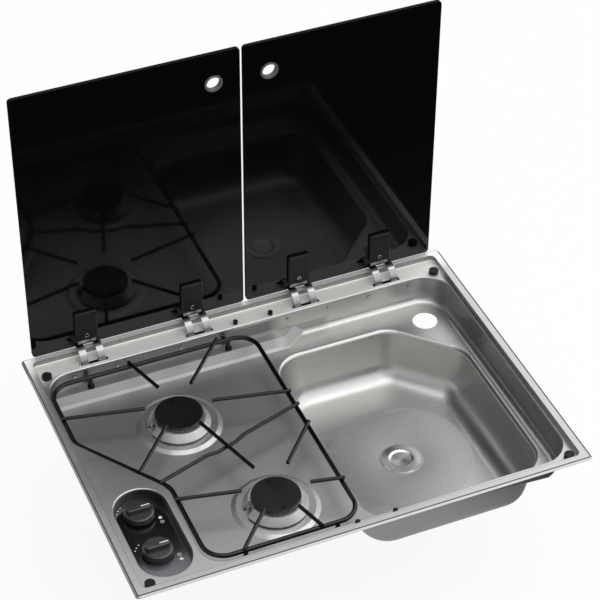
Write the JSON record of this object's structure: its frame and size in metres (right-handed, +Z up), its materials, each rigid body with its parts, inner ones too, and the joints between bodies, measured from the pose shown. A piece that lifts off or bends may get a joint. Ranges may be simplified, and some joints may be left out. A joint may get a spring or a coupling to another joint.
{
  "type": "hob and sink combination",
  "caption": "Drop-in steel unit with a gas hob beside a sink bowl, under hinged glass lids that fold up against the back.",
  "frame": {"origin": "centre of the worktop cut-out, on the worktop's surface", "axes": "+X to the user's right along the front, +Y to the back, +Z up"},
  "size_m": [0.6, 0.4494, 0.5947],
  "materials": {
    "steel": "satin brushed",
    "polished_steel": "polished",
    "zinc_steel": "zinc plated",
    "chrome": "polished",
    "aluminium": "cast",
    "brass": "machined",
    "black_enamel": "satin enamel",
    "black_gloss": "gloss",
    "black_plastic": "fine grain",
    "white_plastic": "plain",
    "ceramic": "glazed",
    "black_rubber": "matt",
    "grey_rubber": "smooth",
    "black_glass": "tinted, polished"
  },
  "bodies": {
    "hob_and_sink": {"steel_top": "steel", "rim_seal": "black_rubber", "corner_buffers": "black_rubber", "centre_buffers": "black_rubber", "pan_support": "black_enamel", "pan_support_feet": "black_rubber", "control_panel": "black_gloss", "burner_cap_screws": "chrome", "gas_rail": "zinc_steel", "gas_inlet": "zinc_steel", "rear_feed_pipe": "aluminium", "front_feed_pipe": "aluminium", "hinge_pins": "chrome", "hinge_rivets": "chrome", "waste_flange": "polished_steel", "waste_body": "white_plastic", "rear_burner_cup": "aluminium", "rear_flame_ring": "aluminium", "rear_burner_cap": "black_enamel", "rear_injector": "brass", "rear_thermocouple": "chrome", "rear_spark_electrode": "ceramic", "rear_gas_tap": "brass", "front_burner_cup": "aluminium", "front_flame_ring": "aluminium", "front_burner_cap": "black_enamel", "front_injector": "brass", "front_thermocouple": "chrome", "front_spark_electrode": "ceramic", "front_gas_tap": "brass", "left_outer_hinge_bracket": "zinc_steel", "left_inner_hinge_bracket": "zinc_steel", "right_inner_hinge_bracket": "zinc_steel", "right_outer_hinge_bracket": "zinc_steel"},
    "left_lid": {"left_glass_lid": "black_glass", "left_finger_ring": "grey_rubber", "left_hinge_screws": "chrome", "left_hinge_backs": "black_plastic", "left_outer_hinge_arm": "chrome", "left_outer_hinge_pad": "black_plastic", "left_inner_hinge_arm": "chrome", "left_inner_hinge_pad": "black_plastic"},
    "right_lid": {"right_glass_lid": "black_glass", "right_finger_ring": "grey_rubber", "right_hinge_screws": "chrome", "right_hinge_backs": "black_plastic", "right_inner_hinge_arm": "chrome", "right_inner_hinge_pad": "black_plastic", "right_outer_hinge_arm": "chrome", "right_outer_hinge_pad": "black_plastic"},
    "rear_cock": {"rear_tap_plug": "brass"},
    "rear_control": {"rear_knob": "black_gloss", "rear_knob_pointer": "white_plastic", "rear_spindle": "zinc_steel"},
    "front_cock": {"front_tap_plug": "brass"},
    "front_control": {"front_knob": "black_gloss", "front_knob_pointer": "white_plastic", "front_spindle": "zinc_steel"},
    "plug": {"sink_plug": "polished_steel"}
  },
  "joints": [
    {"name": "left_lid_hinge", "type": "hinge", "parent": "hob_and_sink", "child": "left_lid", "pos_m": [-0.137, 0.21, -0.009], "axis": [1, 0, 0], "range_deg": [0, 90]},
    {"name": "right_lid_hinge", "type": "hinge", "parent": "hob_and_sink", "child": "right_lid", "pos_m": [0.149, 0.21, -0.009], "axis": [1, 0, 0], "range_deg": [0, 90]},
    {"name": "rear_knob_turn", "type": "hinge", "parent": "hob_and_sink", "child": "rear_cock", "pos_m": [-0.2465, -0.0805, -0.035], "axis": [0, 0, 1], "range_deg": [0, 210]},
    {"name": "rear_knob_push", "type": "slide", "parent": "rear_cock", "child": "rear_control", "axis": [0, 0, -1], "range_m": [0, 0.003], "stiffness_N_per_m": 1500, "springref_m": -0.002},
    {"name": "front_knob_turn", "type": "hinge", "parent": "hob_and_sink", "child": "front_cock", "pos_m": [-0.2465, -0.1465, -0.035], "axis": [0, 0, 1], "range_deg": [0, 210]},
    {"name": "front_knob_push", "type": "slide", "parent": "front_cock", "child": "front_control", "axis": [0, 0, -1], "range_m": [0, 0.003], "stiffness_N_per_m": 1500, "springref_m": -0.002},
    {"name": "sink_plug_lift", "type": "slide", "parent": "hob_and_sink", "child": "plug", "axis": [0, 0, 1], "range_m": [0, 0.03]}
  ]
}
